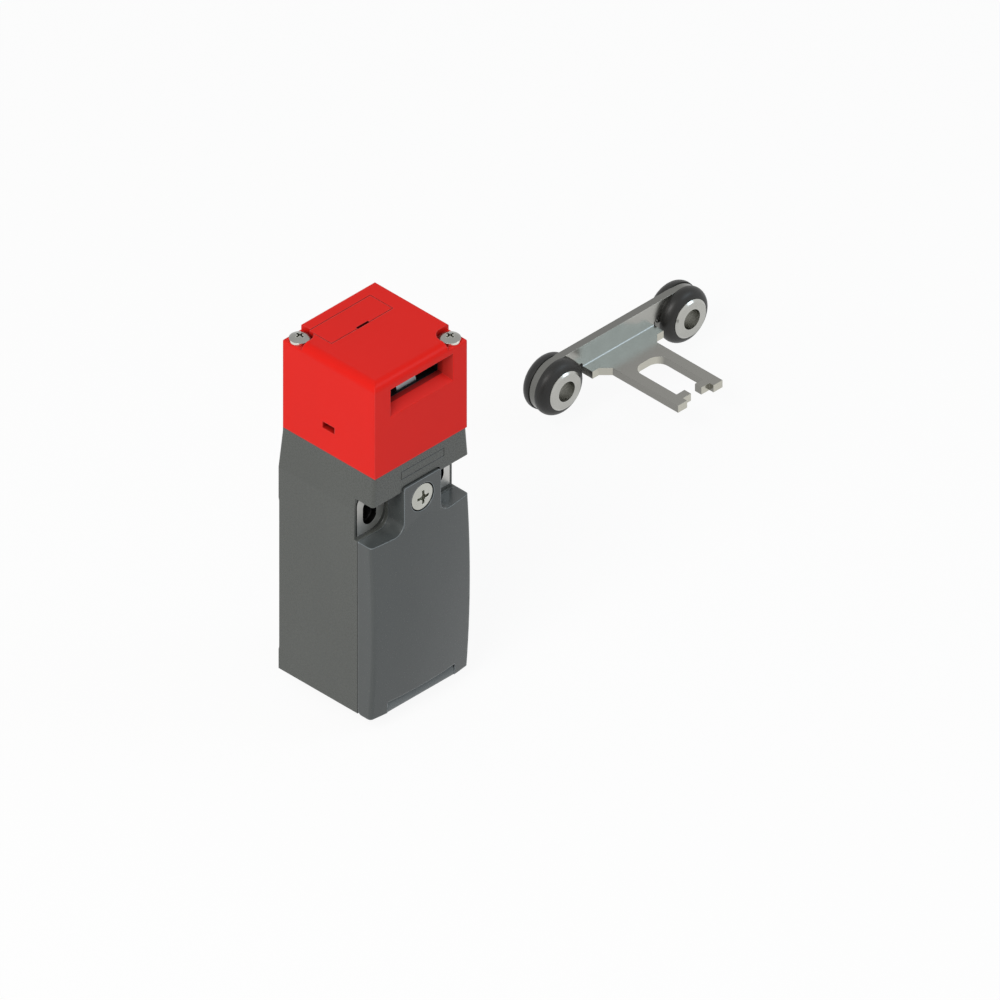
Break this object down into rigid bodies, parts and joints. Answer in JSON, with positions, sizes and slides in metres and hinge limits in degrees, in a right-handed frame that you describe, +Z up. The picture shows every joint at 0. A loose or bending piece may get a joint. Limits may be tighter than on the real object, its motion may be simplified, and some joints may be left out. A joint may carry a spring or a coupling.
{
  "type": "tongue interlock switch",
  "caption": "Upright safety switch with a slotted head, hinged cover and a separate angled key on rubber-mounted bushings.",
  "frame": {"origin": "centre of the switch's underside, under the middle of its square head", "axes": "+X to the right seen from the front, +Y to the back, +Z up; the key stands to the +X side"},
  "size_m": [0.1658, 0.0652, 0.094],
  "materials": {
    "dark_plastic": "fine-grained dark grey moulded plastic",
    "red_plastic": "satin signal-red moulded plastic",
    "black_plastic": "matte black moulded plastic",
    "cream_plastic": "natural moulded plastic",
    "steel": "zinc-plated or stainless steel, satin",
    "brass": "bare brass",
    "rubber": "soft black rubber"
  },
  "bodies": {
    "switch": {"housing": "dark_plastic", "fixing_plates": "steel", "cover_gasket": "rubber", "screw_insert": "brass", "head_shell": "red_plastic", "head_screws": "steel", "cam_carrier": "black_plastic", "head_base": "black_plastic", "head_gasket": "rubber", "cam_axle": "steel", "contact_block": "black_plastic", "nc_contacts": "brass", "no_contacts": "brass", "terminal_clamps": "steel", "terminal_screws": "steel"},
    "cover": {"cover": "dark_plastic"},
    "cover_screw": {"cover_screw": "steel"},
    "slot_plug": {"slot_plug": "red_plastic"},
    "cam": {"cam_rotor": "steel"},
    "plunger": {"plunger": "cream_plastic", "plunger_seal": "rubber", "plunger_spring": "steel"},
    "carrier": {"contact_carrier": "cream_plastic", "nc_bridge": "brass", "no_bridge": "brass", "contact_springs": "steel", "return_spring": "steel"},
    "key": {"key_plate": "steel", "rubber_grommets": "rubber", "steel_bushings": "steel"}
  },
  "joints": [
    {"name": "cam_turn", "type": "hinge", "parent": "switch", "child": "cam", "pos_m": [0.00035, 0.0005, 0.0811], "axis": [1, 0, 0], "range_deg": [-90, 0]},
    {"name": "plunger_slide", "type": "slide", "parent": "switch", "child": "plunger", "axis": [0, 0, 1], "range_m": [0, 0.003], "deforming": ["plunger_spring"]},
    {"name": "carrier_slide", "type": "slide", "parent": "switch", "child": "carrier", "axis": [0, 0, 1], "range_m": [0, 0.003], "deforming": ["return_spring"]},
    {"name": "cover_hinge", "type": "hinge", "parent": "switch", "child": "cover", "pos_m": [0, -0.0115, 0.0012], "axis": [1, 0, 0], "range_deg": [0, 90]},
    {"name": "screw_out", "type": "slide", "parent": "cover", "child": "cover_screw", "axis": [0, -1, 0], "range_m": [0, 0.0045]},
    {"name": "plug_pull", "type": "slide", "parent": "switch", "child": "slot_plug", "axis": [0, 0, 1], "range_m": [0, 0.006]},
    {"name": "key_slide", "type": "slide", "parent": "switch", "child": "key", "axis": [0, -1, 0], "range_m": [0, 0.0236]}
  ],
  "couplings": [
    {"joint": "plunger_slide", "follows": "cam_turn", "m_per_rad": -0.0019098},
    {"joint": "carrier_slide", "follows": "cam_turn", "m_per_rad": -0.0019098}
  ]
}
